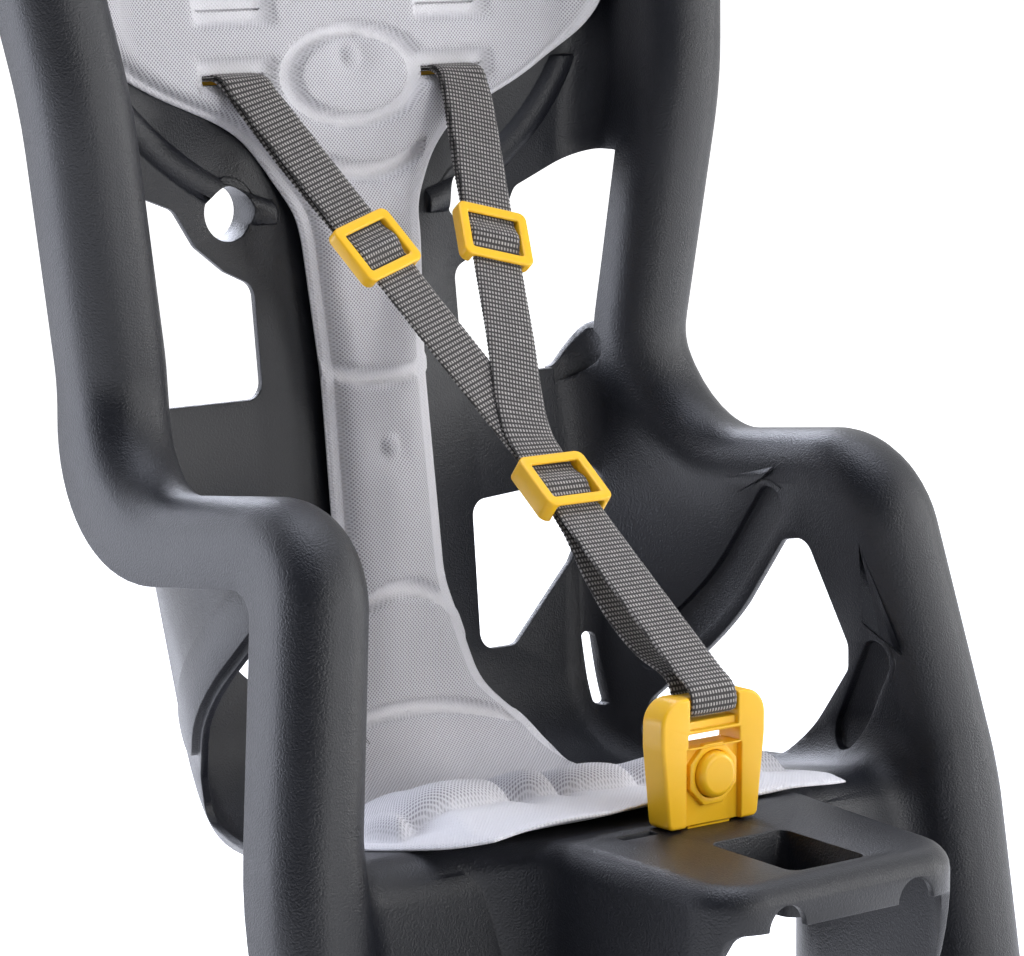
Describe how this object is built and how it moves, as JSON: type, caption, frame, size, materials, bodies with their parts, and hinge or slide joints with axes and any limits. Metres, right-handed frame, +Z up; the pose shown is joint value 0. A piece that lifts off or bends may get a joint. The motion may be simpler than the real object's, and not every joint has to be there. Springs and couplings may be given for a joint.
{
  "type": "child bike seat",
  "caption": "Moulded child bike seat with rolled rim, leg guards, sliding footrests, padded cover, harness with plug-in buckle, and a clamp for a rear carrier.",
  "frame": {"origin": "midway between the two carrier rails, at the height of their axes, in the middle of the clamp", "axes": "+Z up, the seat faces -Y, +X to the right of someone who looks at its front"},
  "size_m": [0.41, 0.4091, 0.8073],
  "materials": {
    "shell": "fine moulded grain",
    "pad": "light grey mesh cloth",
    "webbing": "woven webbing with a light fleck",
    "yellow": "satin moulded",
    "strap_rubber": "matt",
    "clamp": "matt",
    "steel": "zinc plated"
  },
  "bodies": {
    "seat": {"seat_shell": "shell", "seat_pad": "pad", "harness_strap": "webbing", "glide_left": "yellow", "glide_right": "yellow", "glide_join": "yellow", "keeper_left": "yellow", "keeper_right": "yellow", "clamp_base": "clamp", "clamp_bolt": "steel", "base_screws": "steel"},
    "buckle": {"buckle_body": "yellow"},
    "button": {"buckle_button": "yellow"},
    "left_footrest": {"footrest_left": "shell", "footrest_lock_left": "shell", "foot_strap_left": "strap_rubber"},
    "right_footrest": {"footrest_right": "shell", "footrest_lock_right": "shell", "foot_strap_right": "strap_rubber"},
    "jaw": {"clamp_jaw": "clamp", "clamp_washer": "steel"},
    "knob": {"clamp_knob": "clamp"}
  },
  "joints": [
    {"name": "buckle_lift", "type": "slide", "parent": "seat", "child": "buckle", "axis": [0, 0, 1], "range_m": [0, 0.03], "deforming": ["harness_strap"]},
    {"name": "button_press", "type": "slide", "parent": "buckle", "child": "button", "axis": [0, 1, 0], "range_m": [0, 0.0025], "stiffness_N_per_m": 600, "springref_m": -0.001},
    {"name": "left_footrest_height", "type": "slide", "parent": "seat", "child": "left_footrest", "axis": [0, 0.1838, 0.983], "range_m": [0, 0.09]},
    {"name": "right_footrest_height", "type": "slide", "parent": "seat", "child": "right_footrest", "axis": [0, 0.1838, 0.983], "range_m": [0, 0.09]},
    {"name": "jaw_open", "type": "slide", "parent": "seat", "child": "jaw", "axis": [0, 0, -1], "range_m": [0, 0.009]},
    {"name": "knob_turn", "type": "hinge", "parent": "jaw", "child": "knob", "pos_m": [0, 0, -0.025], "axis": [0, 0, 1], "range_deg": [-2600, 0]}
  ],
  "couplings": [
    {"joint": "knob_turn", "follows": "jaw_open", "rad_per_m": -5026.5}
  ]
}
